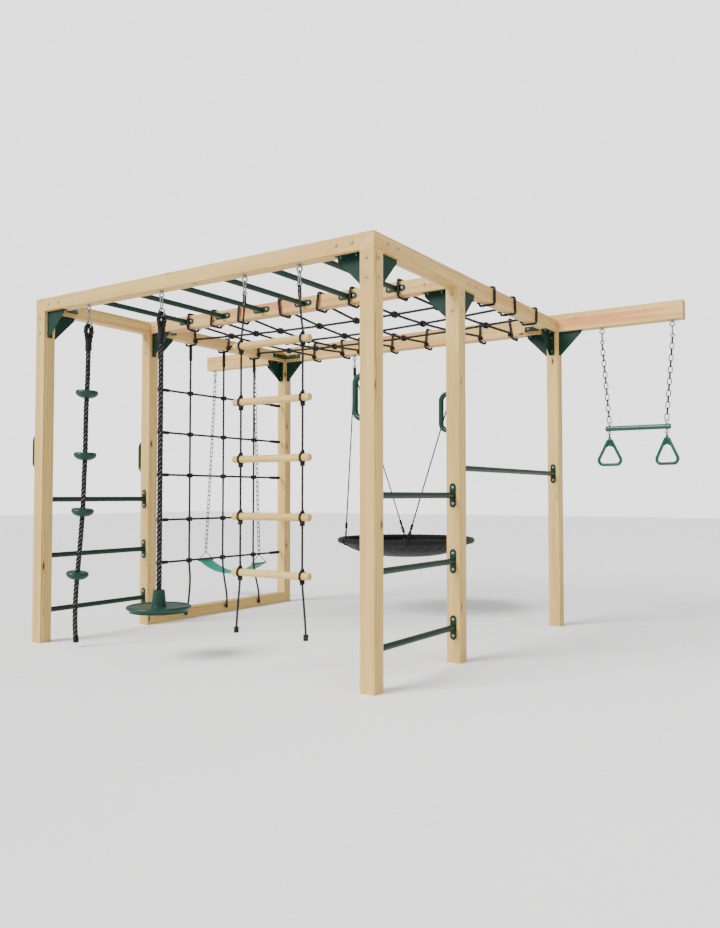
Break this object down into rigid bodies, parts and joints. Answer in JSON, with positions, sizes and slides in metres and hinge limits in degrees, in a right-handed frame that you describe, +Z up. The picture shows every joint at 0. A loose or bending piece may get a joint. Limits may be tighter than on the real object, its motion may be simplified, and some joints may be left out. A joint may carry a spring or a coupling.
{
  "type": "playground monkey bars",
  "caption": "Pine climbing frame with overhead monkey bars, side ladders, climbing nets, a climbing rope, disc swing, rope ladder, belt swing, nest swing and trapeze.",
  "frame": {"origin": "on the ground, under the middle of the object's box", "axes": "+X to the right along the beams, +Y from the front beam to the rear beam, +Z up"},
  "size_m": [4.178, 3.0622, 2.1593],
  "materials": {
    "pine": "planed",
    "green_steel": "powder coated",
    "green_plastic": "moulded",
    "teal_belt": "moulded",
    "zinc": "zinc plated",
    "black_rope": "laid three-strand rope",
    "black_cover": "woven, slightly glossy"
  },
  "bodies": {
    "frame": {"post_front_right": "pine", "post_front_left": "pine", "post_mid_left": "pine", "post_mid_right": "pine", "post_rear_right": "pine", "post_rear_left": "pine", "front_beam": "pine", "mid_beam": "pine", "rear_beam": "pine", "right_side_beam": "pine", "left_front_side_beam": "pine", "left_rear_side_beam": "pine", "ground_rail": "pine", "monkey_bar_1": "green_steel", "monkey_bar_2": "green_steel", "monkey_bar_3": "green_steel", "monkey_bar_4": "green_steel", "monkey_bar_5": "green_steel", "monkey_bar_6": "green_steel", "right_ladder_bar_1": "green_steel", "right_ladder_bar_2": "green_steel", "right_ladder_bar_3": "green_steel", "left_ladder_bar_1": "green_steel", "left_ladder_bar_2": "green_steel", "left_ladder_bar_3": "green_steel", "high_side_bar": "green_steel", "grip_front_right": "green_plastic", "grip_mid_right": "green_plastic", "grip_front_left": "green_plastic", "grip_mid_left": "green_plastic", "post_brackets": "green_steel", "corner_brackets": "green_steel", "bracket_nuts": "zinc", "frame_bolts": "zinc", "bar_bolts": "zinc", "hanger_eyes": "zinc", "overhead_net": "black_rope", "net_lashings": "black_rope", "wall_net": "black_rope", "wall_net_eyes": "zinc"},
    "climbing_rope": {"climbing_rope": "black_rope", "foot_discs": "green_plastic", "climbing_rope_link": "zinc"},
    "disc_swing": {"disc_swing_rope": "black_rope", "disc_seat": "green_plastic", "disc_swing_link": "zinc"},
    "rope_ladder": {"ladder_rope_left": "black_rope", "ladder_rope_right": "black_rope", "ladder_rungs": "pine", "ladder_links": "zinc"},
    "belt_swing": {"belt_seat": "teal_belt", "belt_chains": "zinc"},
    "nest_swing": {"nest_ring": "green_steel", "nest_cover": "black_cover", "nest_ropes": "black_rope", "nest_links": "zinc"},
    "trapeze": {"trapeze_bar": "green_steel", "trapeze_chains": "zinc"},
    "left_hand_ring": {"hand_ring_left": "green_plastic"},
    "right_hand_ring": {"hand_ring_right": "green_plastic"}
  },
  "joints": [
    {"name": "climbing_rope_swing", "type": "hinge", "parent": "frame", "child": "climbing_rope", "pos_m": [-0.768, -1.35615, 1.985], "axis": [1, 0, 0], "range_deg": [-40, 40]},
    {"name": "disc_swing_hinge", "type": "hinge", "parent": "frame", "child": "disc_swing", "pos_m": [-0.154, -1.35615, 1.985], "axis": [1, 0, 0], "range_deg": [-40, 40]},
    {"name": "rope_ladder_swing", "type": "hinge", "parent": "frame", "child": "rope_ladder", "pos_m": [0.629, -1.35615, 1.985], "axis": [1, 0, 0], "range_deg": [-40, 40]},
    {"name": "belt_swing_hinge", "type": "hinge", "parent": "frame", "child": "belt_swing", "pos_m": [-1.743, 1.00385, 1.985], "axis": [1, 0, 0], "range_deg": [-55, 55]},
    {"name": "nest_swing_hinge", "type": "hinge", "parent": "frame", "child": "nest_swing", "pos_m": [0.024, 1.00385, 1.985], "axis": [1, 0, 0], "range_deg": [-30, 30]},
    {"name": "trapeze_swing", "type": "hinge", "parent": "frame", "child": "trapeze", "pos_m": [1.789, 1.00385, 1.985], "axis": [1, 0, 0], "range_deg": [-55, 55]},
    {"name": "left_ring_hinge", "type": "hinge", "parent": "trapeze", "child": "left_hand_ring", "pos_m": [1.604, 1.00385, 1.298], "axis": [1, 0, 0], "range_deg": [-60, 60]},
    {"name": "right_ring_hinge", "type": "hinge", "parent": "trapeze", "child": "right_hand_ring", "pos_m": [1.974, 1.00385, 1.298], "axis": [1, 0, 0], "range_deg": [-60, 60]}
  ]
}
